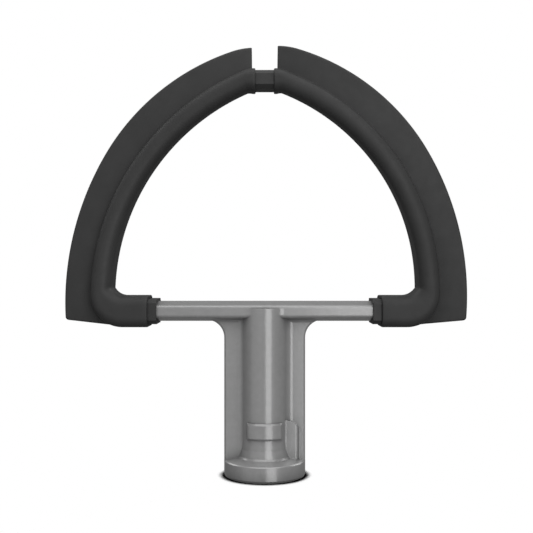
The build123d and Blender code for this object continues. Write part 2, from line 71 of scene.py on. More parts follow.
@dataclass
class NodeWriter:
    """Adds nodes to a tree and joins them, so that a tree reads from top to bottom.

    Args:
        tree: The shader or geometry tree that is written.
    """

    tree: bpy.types.NodeTree

    def feed(self, socket: bpy.types.NodeSocket, source: object) -> None:
        """Joins a source to an input, or sets the input where the source is a plain value.

        Args:
            socket: The input.
            source: Another node's output, or a value.
        """
        if isinstance(source, bpy.types.NodeSocket):
            self.tree.links.new(source, socket)
        else:
            socket.default_value = source

    def add(
        self, kind: str, inputs: Mapping[str | int, object] | None = None, **settings: object
    ) -> bpy.types.Node:
        """Adds one node.

        Args:
            kind: The node's type name.
            inputs: What its inputs are fed with, by their names or places.
            settings: Properties that are set on it first.

        Returns:
            The new node.
        """
        node = self.tree.nodes.new(kind)
        for name, value in settings.items():
            setattr(node, name, value)
        for name, source in (inputs or {}).items():
            self.feed(node.inputs[name], source)
        return node

    def math(self, operation: str, *terms: object) -> bpy.types.NodeSocket:
        """Result of a Math node on outputs or numbers."""
        return self.add("ShaderNodeMath", dict(enumerate(terms)), operation=operation).outputs[0]

    def vector(self, operation: str, *terms: object) -> bpy.types.NodeSocket:
        """Vector that a Vector Math node makes of outputs or vectors."""
        return self.add("ShaderNodeVectorMath", dict(enumerate(terms)), operation=operation).outputs[0]

    def whole(self, operation: str, *terms: object) -> bpy.types.NodeSocket:
        """Result of an Integer Math node on outputs or whole numbers."""
        return self.add("FunctionNodeIntegerMath", dict(enumerate(terms)), operation=operation).outputs[0]

    def scaled(self, vector: object, factor: object) -> bpy.types.NodeSocket:
        """A vector times a number."""
        return self.add("ShaderNodeVectorMath", {0: vector, "Scale": factor}, operation="SCALE").outputs[0]

    def parts(self, vector: object) -> tuple[bpy.types.NodeSocket, ...]:
        """A vector's X, Y and Z."""
        return tuple(self.add("ShaderNodeSeparateXYZ", {0: vector}).outputs)

    def grey(self, value: object) -> bpy.types.NodeSocket:
        """The colour of a grey of a varying level."""
        return self.add("ShaderNodeCombineColor", dict.fromkeys(range(3), value)).outputs["Color"]

    def noise(self, place: object, scale: float, detail: float, rough: float = 0.5) -> bpy.types.NodeSocket:
        """A Noise Texture on a set of coordinates.

        Args:
            place: The coordinates.
            scale: Waves per metre.
            detail: Octaves.
            rough: How much the finer octaves count.

        Returns:
            The noise's value, about 0.5 on average.
        """
        inputs = {"Vector": place, "Scale": scale, "Detail": detail, "Roughness": rough}
        return self.add("ShaderNodeTexNoise", inputs).outputs["Fac"]

    def ranged(
        self, value: object, source: tuple[float, float], target: tuple[float, float], shape: str = "LINEAR"
    ) -> bpy.types.NodeSocket:
        """Carries a value over from one range to another and holds it there.

        Args:
            value: The value.
            source: The range that it comes from.
            target: The range that it is carried to.
            shape: How the steps between the two run, as Map Range names it.

        Returns:
            The value in its new range.
        """
        inputs = {"Value": value}
        inputs.update(zip(("From Min", "From Max", "To Min", "To Max"), (*source, *target)))
        return self.add("ShaderNodeMapRange", inputs, interpolation_type=shape).outputs["Result"]

    def openness(self, reach: float, samples: int) -> bpy.types.NodeSocket:
        """How open the surface is, from 0 in a closed place to 1 on a free face.

        Args:
            reach: How far round it is looked, in metres.
            samples: How many ways it is looked.

        Returns:
            The openness.
        """
        return self.add("ShaderNodeAmbientOcclusion", {"Distance": reach}, samples=samples).outputs["AO"]

    def seen(self) -> bpy.types.NodeSocket:
        """1 for the eye's rays, also through clear things, and 0 for the light's own."""
        rays = self.add("ShaderNodeLightPath").outputs
        return self.math("MAXIMUM", rays["Is Camera Ray"], rays["Is Transmission Ray"])

    def carried(self, helper: object, index: object) -> Callable[[Enum | None], bpy.types.NodeSocket]:
        """A reader of the vectors that a helper object's points carry.

        Args:
            helper: Output that gives the helper object.
            index: Which of its points is read.

        Returns:
            A function that reads one role's vector, or the point's place for None.
        """
        info = self.add("GeometryNodeObjectInfo", {"Object": helper}, transform_space="ORIGINAL")

        def read(role: Enum | None) -> bpy.types.NodeSocket:
            """Reads one vector of the point.

            Args:
                role: The vector's role, or None for the point's place.

            Returns:
                The vector.
            """
            if role is None:
                source = self.add("GeometryNodeInputPosition")
            else:
                name = {"Name": role.value}
                source = self.add("GeometryNodeInputNamedAttribute", name, data_type="FLOAT_VECTOR")
            inputs = {"Geometry": info.outputs["Geometry"], "Value": source.outputs[0], "Index": index}
            return self.add("GeometryNodeSampleIndex", inputs, data_type="FLOAT_VECTOR").outputs["Value"]

        return read


def shader_tree(owner: bpy.types.Material | bpy.types.World) -> NodeWriter:
    """Empties the tree of a material or a world and gives a writer for it.

    Args:
        owner: The material or the world.

    Returns:
        The writer.
    """
    owner.use_nodes = True
    owner.node_tree.nodes.clear()
    return NodeWriter(owner.node_tree)


def new_object(name: str, data: bpy.types.ID) -> bpy.types.Object:
    """Makes an object of a mesh, a camera or a lamp and links it to the scene.

    Args:
        name: The object's name.
        data: What it shows.

    Returns:
        The object.
    """
    made = bpy.data.objects.new(name, data)
    bpy.context.scene.collection.objects.link(made)
    return made


def quarter_turn(steps: int) -> list[float]:
    """Angles of a quarter turn in equal steps, both ends among them."""
    return [i / steps * pi / 2 for i in range(steps + 1)]


def polar(centre: Vector, radius: float, angle: float) -> Vector:
    """Point on a circle in the plane of the loop.

    Args:
        centre: The circle's centre, as (X, Z).
        radius: Its radius.
        angle: Angle in radians from +X towards +Z.

    Returns:
        The point, as (X, Z).
    """
    return centre + Vector((radius * cos(angle), radius * sin(angle)))


def tangent_arc(start: Vector, heading: Vector, end: Vector, steps: int) -> list[Vector]:
    """Points on the arc that leaves a point in a known direction and ends at another point.

    Args:
        start: Where the arc starts.
        heading: Its direction there.
        end: Where it ends.
        steps: Number of equal steps.

    Returns:
        The points, both ends among them.
    """
    normal = Vector((-heading.y, heading.x)).normalized()
    chord = end - start
    radius = chord.length_squared / (2 * chord.dot(normal))
    centre = start + normal * radius
    first = atan2(start.y - centre.y, start.x - centre.x)
    last = atan2(end.y - centre.y, end.x - centre.x)
    return [polar(centre, abs(radius), first + i / steps * (last - first)) for i in range(steps + 1)]


def rounded_corner(before: Vector, corner: Vector, after: Vector, radius: float) -> list[Vector]:
    """Points on the arc that rounds a corner between two straight runs.

    Args:
        before: A point on the run into the corner.
        corner: The sharp corner.
        after: A point on the run out of it.
        radius: Radius of the rounding.

    Returns:
        The arc's points.
    """
    into, out = (before - corner).normalized(), (after - corner).normalized()
    half = into.angle(out) / 2
    tangent = radius / sin(half) * cos(half)
    return tangent_arc(corner + into * tangent, -into, corner + out * tangent, ROUND_STEPS)


# Finishes


@dataclass(frozen=True)
class SurfaceGrain:
    """One layer of relief on a finish.

    Args:
        scale: Waves per metre.
        height: Height of the relief in metres.
        detail: Octaves of its noise.
    """

    scale: float
    height: float
    detail: float = 3.0


@dataclass(frozen=True)
class GreyFinish:
    """A neutral grey finish with its own mottling, gloss and relief, and shade painted into its grey where
    the surface is enclosed.

    Args:
        name: The material's name.
        level: Reflectance of the grey.
        mottle: How far the grey wanders, as a share of its level.
        mottle_scale: Waves per metre of the mottling.
        roughness: Mean roughness.
        specular: Specular level, 0.5 for a common plastic.
        painted_crevice_shade: Share of the grey that is darkened away as painted shade in a fully enclosed
            place.
        grains: Layers of relief, coarse to fine.
        coat: Weight of the clear gloss on top.
        coat_roughness: Roughness of that gloss.
        edge_round: Radius in metres at which sharp edges catch the light, 0 for none.
        roughness_swing: How far the roughness wanders to each side.
        painted_shade_reach: How far round a place is looked for what encloses it, for the painted shade, in
            metres.
        painted_shade_samples: How many ways it is looked, for the painted shade.
        edge_samples: How many ways a sharp edge is looked for.
        mottle_detail: Octaves of the mottling.
        mottle_rough: How much its finer octaves count.
        haze_factor: How much finer the roughness wanders than the grey.
        haze_detail: Octaves of that wandering.
    """

    name: str
    level: float
    mottle: float
    mottle_scale: float
    roughness: float
    specular: float
    painted_crevice_shade: float
    grains: tuple[SurfaceGrain, ...]
    coat: float = 0.0
    coat_roughness: float = 0.3
    edge_round: float = 0.0
    roughness_swing: float = 0.05
    painted_shade_reach: float = 5.0 * MM
    painted_shade_samples: int = 8
    edge_samples: int = 6
    mottle_detail: float = 4.0
    mottle_rough: float = 0.6
    haze_factor: float = 2.3
    haze_detail: float = 3.0

    def relief(self, nodes: NodeWriter, place: bpy.types.NodeSocket) -> bpy.types.NodeSocket:
        """The finish's normal: soft edges with every layer of relief on them.

        Args:
            nodes: Writer of the material's tree.
            place: Object coordinates.

        Returns:
            The normal.
        """
        normal = nodes.add("ShaderNodeNewGeometry").outputs["Normal"]
        if self.edge_round:
            edge = nodes.add("ShaderNodeBevel", {"Radius": self.edge_round}, samples=self.edge_samples)
            normal = edge.outputs["Normal"]
        for grain in self.grains:
            height = nodes.noise(place, grain.scale, grain.detail)
            inputs = {"Strength": 1.0, "Distance": grain.height, "Height": height, "Normal": normal}
            normal = nodes.add("ShaderNodeBump", inputs).outputs["Normal"]
        return normal

    def build(self) -> bpy.types.Material:
        """Makes the material.

        Returns:
            The new material.
        """
        material = bpy.data.materials.new(self.name)
        nodes = shader_tree(material)
        place = nodes.add("ShaderNodeTexCoord").outputs["Object"]
        cloud = nodes.noise(place, self.mottle_scale, self.mottle_detail, self.mottle_rough)
        levels = (self.level * (1 - self.mottle), self.level * (1 + self.mottle))
        # Painted shade: the grey is darkened where the surface is enclosed, in valleys and creases between
        # parts.
        openness = nodes.openness(self.painted_shade_reach, self.painted_shade_samples)
        painted_shade = nodes.math("MULTIPLY_ADD", openness, self.painted_crevice_shade, 1.0 - self.painted_crevice_shade)
        haze = nodes.noise(place, self.mottle_scale * self.haze_factor, self.haze_detail)
        swings = (self.roughness - self.roughness_swing, self.roughness + self.roughness_swing)
        inputs = {
            "Base Color": nodes.grey(nodes.math("MULTIPLY", nodes.ranged(cloud, NOISE_RANGE, levels), painted_shade)),
            "Roughness": nodes.ranged(haze, NOISE_RANGE, swings),
            "Normal": self.relief(nodes, place),
            "Specular IOR Level": self.specular,
            "Coat Weight": self.coat,
            "Coat Roughness": self.coat_roughness,
        }
        shader = nodes.add("ShaderNodeBsdfPrincipled", inputs)
        nodes.add("ShaderNodeOutputMaterial", {"Surface": shader.outputs[0]})
        return material


COATED_METAL = GreyFinish(
    name="coated_cast_metal",
    level=0.2,
    mottle=0.05,
    mottle_scale=420.0,
    roughness=0.42,
    specular=0.5,
    # Painted shade: the whole grey is darkened away in a fully enclosed place.
    painted_crevice_shade=1.0,
    grains=(SurfaceGrain(90.0, 0.05 * MM, 2.0), SurfaceGrain(1100.0, 0.012 * MM)),
    coat=1.0,
    coat_roughness=0.18,
    edge_round=0.35 * MM,
)

STIFF_PLASTIC = GreyFinish(
    name="stiff_moulded_plastic",
    level=0.028,
    mottle=0.08,
    mottle_scale=300.0,
    roughness=0.5,
    specular=0.2,
    # Painted shade: this share of the grey is darkened away in enclosed places.
    painted_crevice_shade=0.6,
    grains=(SurfaceGrain(1800.0, 0.01 * MM),),
    edge_round=0.3 * MM,
)

SOFT_SILICONE = GreyFinish(
    name="soft_silicone",
    level=0.032,
    mottle=0.07,
    mottle_scale=160.0,
    roughness=0.55,
    specular=0.15,
    # Painted shade: this share of the grey is darkened away in enclosed places.
    painted_crevice_shade=0.6,
    grains=(SurfaceGrain(60.0, 0.04 * MM, 2.0), SurfaceGrain(2200.0, 0.008 * MM)),
)


@dataclass(frozen=True)
class PaperFloor:
    """White sweep with a painted contact shadow under the collar, which lets the lamps' light through.

    Args:
        name: The material's name.
        painted_shadow_reach: How far from the collar the painted contact shadow reaches, in metres.
        painted_shadow_full: Openness at and below which the painted contact shadow is full.
        painted_shadow_end: Openness at which the painted contact shadow ends.
        painted_shadow_samples: How many ways the collar is looked for, for the painted shadow.
    """

    name: str = "white_sweep"
    painted_shadow_reach: float = 5.0 * MM
    painted_shadow_full: float = 0.6
    painted_shadow_end: float = 0.8
    painted_shadow_samples: int = 16

    def build(self) -> bpy.types.Material:
        """Makes the material: white paper with its shadow for the eye, and clear for the light.

        Returns:
            The new material.
        """
        material = bpy.data.materials.new(self.name)
        nodes = shader_tree(material)
        # Painted shadow: the eye's white is darkened near the collar by how enclosed the floor is, since the
        # floor lets all light through.
        openness = nodes.openness(self.painted_shadow_reach, self.painted_shadow_samples)
        painted_shade = nodes.ranged(openness, (self.painted_shadow_full, self.painted_shadow_end), (0.0, 1.0), "SMOOTHSTEP")
        clear = nodes.add("ShaderNodeBsdfTransparent")
        glow = nodes.add("ShaderNodeEmission", {"Color": nodes.grey(painted_shade)})
        mix = nodes.add("ShaderNodeMixShader", {0: nodes.seen(), 1: clear.outputs[0], 2: glow.outputs[0]})
        nodes.add("ShaderNodeOutputMaterial", {"Surface": mix.outputs[0]})
        return material


# The bow's rule


@dataclass(frozen=True)
class Ring:
    """One section of the sleeve.

    Args:
        inner: Point on the sleeve's inner side, as (X, Z).
        outer: Point on its outer side.
        share: Share of the way up the bow.
        inset: How far the section is drawn in, at the lips.
        bladed: Whether the blade stands on this section.
    """

    inner: Vector
    outer: Vector
    share: float
    inset: float = 0.0
    bladed: bool = False


@dataclass(frozen=True)
class BowRule:
    """The line and sections of the right-hand bow, with the same driving sizes as its solid.

    Lengths are in metres, turns in radians, and steps count the sections or points of a run.

    Args:
        bar_level: Height of the crossbar's middle.
        top_rise: How far the bar in the gap stands above the crossbar.
        opening_width: Width of the loop's opening.
        sleeve_width: Width of the sleeve on the long arc, in the plane of the loop.
        cuff_start: Place of the lip on the crossbar, from the middle.
        cuff_height: Height of the sleeve's cuff on the crossbar.
        cuff_depth: Depth of the cuff from front to back.
        cuff_wall: Thickness of the sleeve's wall at the cuff's lip.
        corner_radius: Radius of the corner's outer arc.
        hollow_radius: Radius of the corner's inner hollow.
        hollow_turn: Turn of that hollow.
        slant_run: Turn of the long arc over which its sections lean.
        top_width: Height of the sleeve at the gap.
        top_depth: Depth of the sleeve at the gap.
        top_wall: Thickness of the sleeve's wall at the gap.
        top_gap: Width of the gap between the two edges.
        top_corner_run: How far outside the gap the long arc, carried on, would reach the top's level.
        top_bend_radius: Radius of the top bend's middle line.
        lip_round: Rounding of the lips.
        lip_bore: How deep a lip's inner wall goes into the bore.
        swing: How far the bow's middle stands forward of the middle plane.
        end_lean: How far forward the blade's edge stands at the bow's ends.
        mid_lean: How far forward it stands at the bow's middle.
        blade_width: Reach of the blade from the sleeve at its widest.
        blade_lower_radius: Radius of the outline's lower arc.
        blade_lower_turn: Angle at which the lower arc ends, up from the level of its centre.
        blade_widest_drop: How far the widest place lies below the place where the bow stands upright.
        blade_bottom_rise: How far the outline's lower corner lies above the cuff's underside.
        blade_heel_rise: How far the blade's heel lies above the cuff's underside.
        blade_corner_round: Rounding of the lower corner.
        tip_rise: How far the blade's tip stands above the sleeve at the gap.
        tip_setback: How far the blade's end stays back from the gap.
        tip_run: Width of the crown between the shoulder and the tip.
        tip_drop: How far the shoulder lies below the tip.
        tip_round: Rounding of the tip.
        cuff_steps: Steps along the cuff.
        corner_steps: Steps round the corner.
        arc_steps: Steps up the long arc.
        bend_steps: Steps round the top bend.
        lip_steps: Steps round a lip.
        lower_steps: Steps of the outline's lower arc.
        upper_steps: Steps of its upper arc.
        crown_steps: Steps of its crown.
    """

    bar_level: float = 57.05 * MM
    top_rise: float = 80.0 * MM
    opening_width: float = 105.9 * MM
    sleeve_width: float = 7.0 * MM
    cuff_start: float = 40.0 * MM
    cuff_height: float = 10.8 * MM
    cuff_depth: float = 16.2 * MM
    cuff_wall: float = 1.1 * MM
    corner_radius: float = 11.2 * MM
    hollow_radius: float = 5.4 * MM
    hollow_turn: float = radians(59.0)
    slant_run: float = radians(12.0)
    top_width: float = 8.0 * MM
    top_depth: float = 10.8 * MM
    top_wall: float = 0.8 * MM
    top_gap: float = 6.4 * MM
    top_corner_run: float = 2.6 * MM
    top_bend_radius: float = 8.0 * MM
    lip_round: float = 0.4 * MM
    lip_bore: float = 1.0 * MM
    swing: float = 3.2 * MM
    end_lean: float = 1.95 * MM
    mid_lean: float = 4.03 * MM
    blade_width: float = 10.07 * MM
    blade_lower_radius: float = 101.2 * MM
    blade_lower_turn: float = radians(30.2)
    blade_widest_drop: float = 1.7 * MM
    blade_bottom_rise: float = 2.2 * MM
    blade_heel_rise: float = 0.1 * MM
    blade_corner_round: float = 1.2 * MM
    tip_rise: float = 8.0 * MM
    tip_setback: float = 1.2 * MM
    tip_run: float = 7.4 * MM
    tip_drop: float = 1.24 * MM
    tip_round: float = 0.45 * MM
    cuff_steps: int = 6
    corner_steps: int = 90
    arc_steps: int = 84
    bend_steps: int = 40
    lip_steps: int = 4
    lower_steps: int = 80
    upper_steps: int = 60
    crown_steps: int = 20

    @property
    def top_level(self) -> float:
        """Height of the bar in the gap."""
        return self.bar_level + self.top_rise

    @property
    def cuff_bottom(self) -> float:
        """Height of the cuff's underside."""
        return self.bar_level - self.cuff_height / 2

    @property
    def bow_level(self) -> float:
        """Height at which the bow stands upright."""
        return self.cuff_bottom + self.corner_radius

    @property
    def bow_radius(self) -> float:
        """Radius of the long arc's middle line.

        Returns:
            The radius.
        """
        run = (self.opening_width + self.sleeve_width) / 2 - self.top_gap / 2 - self.top_corner_run
        climb = self.top_level - self.bow_level
        return (run**2 + climb**2) / (2 * run)

    @property
    def bow_centre(self) -> Vector:
        """Centre of the long arc."""
        widest = (self.opening_width + self.sleeve_width) / 2
        return Vector((widest - self.bow_radius, self.bow_level))

    @property
    def corner_centre(self) -> Vector:
        """Centre of the corner's outer arc."""
        outer = self.bow_centre.x + self.bow_radius + self.sleeve_width / 2
        return Vector((outer - self.corner_radius, self.bow_level))

    @property
    def hollow_centre(self) -> Vector:
        """Centre of the corner's inner hollow.

        Returns:
            The centre, as (X, Z).
        """
        level = self.bar_level + self.cuff_height / 2 + self.hollow_radius
        end_level = level - self.hollow_radius * cos(self.hollow_turn)
        inner = self.bow_radius - self.sleeve_width / 2
        end = self.bow_centre.x + sqrt(inner**2 - (end_level - self.bow_level) ** 2)
        return Vector((end - self.hollow_radius * sin(self.hollow_turn), level))

    @property
    def bend_centre(self) -> Vector:
        """Centre of the bend at the top.

        Returns:
            The centre, as (X, Z).
        """
        level = self.top_level - self.top_bend_radius
        reach = self.bow_radius - self.top_bend_radius
        return Vector((self.bow_centre.x + sqrt(reach**2 - (level - self.bow_level) ** 2), level))

    def angle(self, point: Vector) -> float:
        """Angle of a point about the long arc's centre."""
        away = point - self.bow_centre
        return atan2(away.y, away.x)

    def share(self, point: Vector) -> float:
        """Share of the way up the bow, 0 where the cuff ends and 1 where the top is level.

        Args:
            point: A point of the loop's plane, as (X, Z).

        Returns:
            The share.
        """
        low = self.angle(Vector((self.corner_centre.x, self.bar_level)))
        high = self.angle(Vector((self.bend_centre.x, self.top_level)))
        return (self.angle(point) - low) / (high - low)

    def bow_front(self, share: float) -> float:
        """How far the bow stands forward of the middle plane, at a share of its way up."""
        return self.swing * sin(pi * share)

    def depth(self, share: float) -> float:
        """Depth of the sleeve from front to back, at a share of the bow's way up."""
        return self.cuff_depth + (self.top_depth - self.cuff_depth) * sin(pi / 2 * share)

    def sheet_front(self, point: Vector) -> float:
        """How far the blade's sheet stands forward of the middle plane.

        Args:
            point: A point of the loop's plane, as (X, Z).

        Returns:
            The distance towards the front.
        """
        share = self.share(point)
        root = self.bow_front(share)
        edge = self.end_lean + (self.mid_lean - self.end_lean) * sin(pi * share)
        run = self.sleeve_width / 2 + self.blade_width
        return root + (edge - root) / run * ((point - self.bow_centre).length - self.bow_radius)

    def bladed_ring(self, inner: Vector, outer: Vector) -> Ring:
        """Section with the blade on it, between two points of the sleeve's sides."""
        return Ring(inner, outer, self.share((inner + outer) / 2), bladed=True)

    def cuff_ring(self, x: float, inset: float = 0.0) -> Ring:
        """Upright section of the cuff.

        Args:
            x: Its place along the crossbar.
            inset: How far it is drawn in.

        Returns:
            The section.
        """
        half = self.cuff_height / 2
        return Ring(Vector((x, self.bar_level + half)), Vector((x, self.bar_level - half)), 0.0, inset)

    def end_ring(self, x: float, inset: float = 0.0) -> Ring:
        """Upright section of the level end at the top.

        Args:
            x: Its distance from the middle of the gap.
            inset: How far it is drawn in.

        Returns:
            The section.
        """
        half = self.top_width / 2
        return Ring(Vector((x, self.top_level - half)), Vector((x, self.top_level + half)), 1.0, inset)

    def corner_ring(self, turn: float) -> Ring:
        """Section of the corner.

        Args:
            turn: From 0 where the cuff ends to 1 where the bow stands upright.

        Returns:
            The section.
        """
        outer = polar(self.corner_centre, self.corner_radius, (turn - 1) * pi / 2)
        inner = polar(self.hollow_centre, self.hollow_radius, turn * self.hollow_turn - pi / 2)
        if not turn:
            return Ring(inner, outer, 0.0, bladed=True)
        return self.bladed_ring(inner, outer)

    def arc_ring(self, angle: float) -> Ring:
        """Section of the long arc, square to it once past the slant.

        Low on the arc the section leans, because the corner's hollow ends above its outer arc.

        Args:
            angle: Angle of its outer point about the arc's centre.

        Returns:
            The section.
        """
        hollow_end = polar(self.hollow_centre, self.hollow_radius, self.hollow_turn - pi / 2)
        slant = self.angle(hollow_end) * max(0.0, 1 - angle / self.slant_run)
        inner = polar(self.bow_centre, self.bow_radius - self.sleeve_width / 2, angle + slant)
        outer = polar(self.bow_centre, self.bow_radius + self.sleeve_width / 2, angle)
        return self.bladed_ring(inner, outer)

    def bend_ring(self, turn: float) -> Ring:
        """Section of the bend at the top.

        Args:
            turn: From 0 on the long arc to 1 where the bend is level.

        Returns:
            The section.
        """
        start = self.angle(self.bend_centre)
        angle = start + turn * (pi / 2 - start)
        half = (self.sleeve_width + turn * (self.top_width - self.sleeve_width)) / 2
        inner = polar(self.bend_centre, self.top_bend_radius - half, angle)
        outer = polar(self.bend_centre, self.top_bend_radius + half, angle)
        return self.bladed_ring(inner, outer)

    def blade_end_turn(self) -> float:
        """Where on the top bend the blade ends.

        Returns:
            The bend's turn at which its outer side is level with the blade's end.
        """
        start = self.angle(self.bend_centre)
        run = self.top_gap / 2 + self.tip_setback - self.bend_centre.x
        return (acos(run / (self.top_bend_radius + self.top_width / 2)) - start) / (pi / 2 - start)

    def lip(self, x: float, wall: float, ring: Callable[[float, float], Ring]) -> list[Ring]:
        """Sections of a rounded lip, from inside the bore to the sleeve's full size.

        Args:
            x: Place of the lip's face, with the sleeve towards +X.
            wall: Thickness of the sleeve's wall there.
            ring: Makes a section at a place with an inset.

        Returns:
            The sections.
        """
        soft = self.lip_round / 4
        rings = [ring(x + self.lip_bore, wall), ring(x + soft, wall), ring(x, wall - soft)]
        for turn in quarter_turn(self.lip_steps):
            rings.append(ring(x + self.lip_round * (1 - cos(turn)), self.lip_round * (1 - sin(turn))))
        return rings

    def rings(self) -> list[Ring]:
        """All sections of the sleeve.

        Returns:
            The sections, from the lip on the crossbar to the lip at the gap.
        """
        start = self.cuff_start + self.lip_round
        run = self.corner_centre.x - start
        bend_angle = self.angle(self.bend_centre)
        bend_end = self.blade_end_turn()
        rings = self.lip(self.cuff_start, self.cuff_wall, self.cuff_ring)
        rings += [self.cuff_ring(start + i / self.cuff_steps * run) for i in range(1, self.cuff_steps)]
        rings += [self.corner_ring(i / self.corner_steps) for i in range(self.corner_steps + 1)]
        rings += [self.arc_ring(i / self.arc_steps * bend_angle) for i in range(1, self.arc_steps)]
        rings += [self.bend_ring(bend_end * sin(turn)) for turn in quarter_turn(self.bend_steps)]
        # The last section comes once more without the blade, so that a flat wall closes the blade's end.
        rings.append(Ring(rings[-1].inner, rings[-1].outer, rings[-1].share))
        return rings + self.lip(self.top_gap / 2, self.top_wall, self.end_ring)[::-1]

    def blade_outline(self) -> list[Vector]:
        """The blade's outline in the loop's plane.

        Returns:
            Its points, from the heel under the corner over the tip to the foot of the blade's end.
        """
        widest = self.opening_width / 2 + self.sleeve_width + self.blade_width
        lower_centre = Vector((widest - self.blade_lower_radius, self.bow_level - self.blade_widest_drop))
        bottom = self.cuff_bottom + self.blade_bottom_rise
        first = -atan2(lower_centre.y - bottom, self.blade_lower_radius)
        span = self.blade_lower_turn - first
        turns = [first + i / self.lower_steps * span for i in range(self.lower_steps + 1)]
        lower = [polar(lower_centre, self.blade_lower_radius, turn) for turn in turns]
        tip_level = self.top_level + self.top_width / 2 + self.tip_rise
        tip = Vector((self.top_gap / 2 + self.tip_setback, tip_level))
        shoulder = tip + Vector((self.tip_run, -self.tip_drop))
        heading = Vector((-sin(self.blade_lower_turn), cos(self.blade_lower_turn)))
        upper = tangent_arc(lower[-1], heading, shoulder, self.upper_steps)
        crown = tangent_arc(shoulder, upper[-1] - upper[-2], tip, self.crown_steps)
        heel = Vector((self.corner_centre.x, self.cuff_bottom + self.blade_heel_rise))
        corner = rounded_corner(heel, lower[0], lower[1], self.blade_corner_round)
        foot = Vector((tip.x, self.top_level))
        point = rounded_corner(crown[-2], tip, foot, self.tip_round)
        lower = [spot for spot in lower if spot.y > corner[-1].y]
        crown = [spot for spot in crown if spot.x > point[0].x]
        return [heel, *corner, *lower, *upper[1:], *crown[1:], *point, foot]

    def blade_reach(self, ring: Ring, outline: Sequence[Vector]) -> float:
        """How far the blade reaches beyond a section's outer point.

        Args:
            ring: The section.
            outline: The blade's outline.

        Returns:
            The distance, 0 where there is no blade.
        """
        if not ring.bladed:
            return 0.0
        heading = (ring.outer - ring.inner).normalized()
        square = Vector((-heading.y, heading.x))
        best = 0.0
        for start, end in zip(outline, outline[1:]):
            before, after = (start - ring.outer).dot(square), (end - ring.outer).dot(square)
            if min(before, after) <= ON_LINE and max(before, after) >= -ON_LINE and before != after:
                share = min(1.0, max(0.0, before / (before - after)))
                best = max(best, (start + (end - start) * share - ring.outer).dot(heading))
        return best


# The silicone edges


class Side(Enum):
    """The two silicone edges, with the half turn about Z that places each."""

    RIGHT = 0.0
    LEFT = pi

    @property
    def node(self) -> str:
        """Name of the solid that this side's edge stands for."""
        return f"{self.name.lower()}_silicone_edge"


class EdgeRole(Enum):
    """Names of the vectors that the section's points and the bow's rings carry."""

    SHARE = "section_share"
    SLIP = "section_slip"
    WING = "section_wing"
    SIDE = "section_side"
    ACROSS = "ring_across"
    ROOT = "ring_root"
    REACH = "ring_reach"
    GAUGE = "ring_gauge"


@dataclass
class SectionPoint:
    """One point of the edge's section, as shares of the ring's sizes and as fixed offsets.

    Args:
        share: Shares of the width across, of the blade's reach and of half the depth.
        slip: Fixed offsets across and to the front, and the share of the root's own place.
        wing: Offsets across and along the blade where there is one, and half thicknesses of it.
        side: Outward direction, across and to the front.
    """

    share: tuple[float, float, float]
    slip: tuple[float, float, float] = (0.0, 0.0, 0.0)
    wing: tuple[float, float, float] = (0.0, 0.0, 0.0)
    side: tuple[float, float, float] = (1.0, 0.0, 0.0)

    def mirrored(self) -> "SectionPoint":
        """The same point on the back of the section.

        Returns:
            The new point.
        """
        return SectionPoint(
            (self.share[0], self.share[1], -self.share[2]),
            (self.slip[0], -self.slip[1], self.slip[2]),
            (self.wing[0], self.wing[1], -self.wing[2]),
            (self.side[0], -self.side[1], 0.0),
        )


@dataclass(frozen=True)
class EdgeSection:
    """Section of a silicone edge: a rounded sleeve with a wedge-shaped blade grown out of it.

    Args:
        round: Rounding of the sleeve's corners.
        crease: Radius of the round crease between sleeve and blade.
        root_thickness: Thickness of the blade at its root.
        edge_thickness: Thickness of the blade at its edge.
        corner_steps: Steps round a corner of the sleeve.
        face_steps: Steps across the sleeve's front.
        crease_steps: Steps round the crease.
        blade_steps: Steps along the blade.
        edge_steps: Steps round the blade's edge, to its middle.
    """

    round: float = 3.3 * MM
    crease: float = 0.55 * MM
    root_thickness: float = 3.0 * MM
    edge_thickness: float = 1.4 * MM
    corner_steps: int = 8
    face_steps: int = 4
    crease_steps: int = 6
    blade_steps: int = 10
    edge_steps: int = 4

    def front_half(self) -> list[SectionPoint]:
        """The section's front half.

        Returns:
            Its points, from the inner face's middle round the front to the blade's edge.
        """
        half_edge = self.edge_thickness / 2
        points = [SectionPoint((0, 0, 0), side=(-1, 0, 0))]
        points.append(SectionPoint((0, 0, 0.5), (0, -self.round / 2, 0), side=(-1, 0, 0)))
        points += [self.corner(0.0, pi - turn) for turn in quarter_turn(self.corner_steps)]
        for step in range(1, self.face_steps):
            share = step / self.face_steps
            points.append(SectionPoint((share, 0, 1), (self.round * (1 - 2 * share), 0, 0), side=(0, 1, 0)))
        points += [self.corner(1.0, pi / 2 - turn) for turn in quarter_turn(self.corner_steps)]
        for turn in quarter_turn(self.crease_steps):
            slip = (0, self.crease * (1 - sin(turn)), sin(turn))
            points.append(SectionPoint((1, 0, 0), slip, (self.crease * (1 - cos(turn)), 0, 1)))
        for step in range(1, self.blade_steps + 1):
            share = step / self.blade_steps
            wing = (self.crease * (1 - share), -half_edge * share, 1)
            points.append(SectionPoint((1, share, 0), (0, 0, 1), wing))
        for turn in quarter_turn(self.edge_steps)[1:]:
            wing = (0, -half_edge * (1 - sin(turn)), cos(turn))
            points.append(SectionPoint((1, 1, 0), (0, 0, 1), wing))
        return points

    def corner(self, share: float, angle: float) -> SectionPoint:
        """Point on one of the sleeve's rounded corners at the front.

        Args:
            share: 0 for the inner corner, 1 for the outer.
            angle: Angle in radians from the way across towards the front.

        Returns:
            The point.
        """
        centre = self.round * (1 - 2 * share)
        slip = (centre + self.round * cos(angle), self.round * (sin(angle) - 1), 0)
        return SectionPoint((share, 0, 1), slip, side=(cos(angle), sin(angle), 0))

    def points(self) -> list[SectionPoint]:
        """Points of the whole section, once round."""
        front = self.front_half()
        return front + [point.mirrored() for point in front[-2:0:-1]]


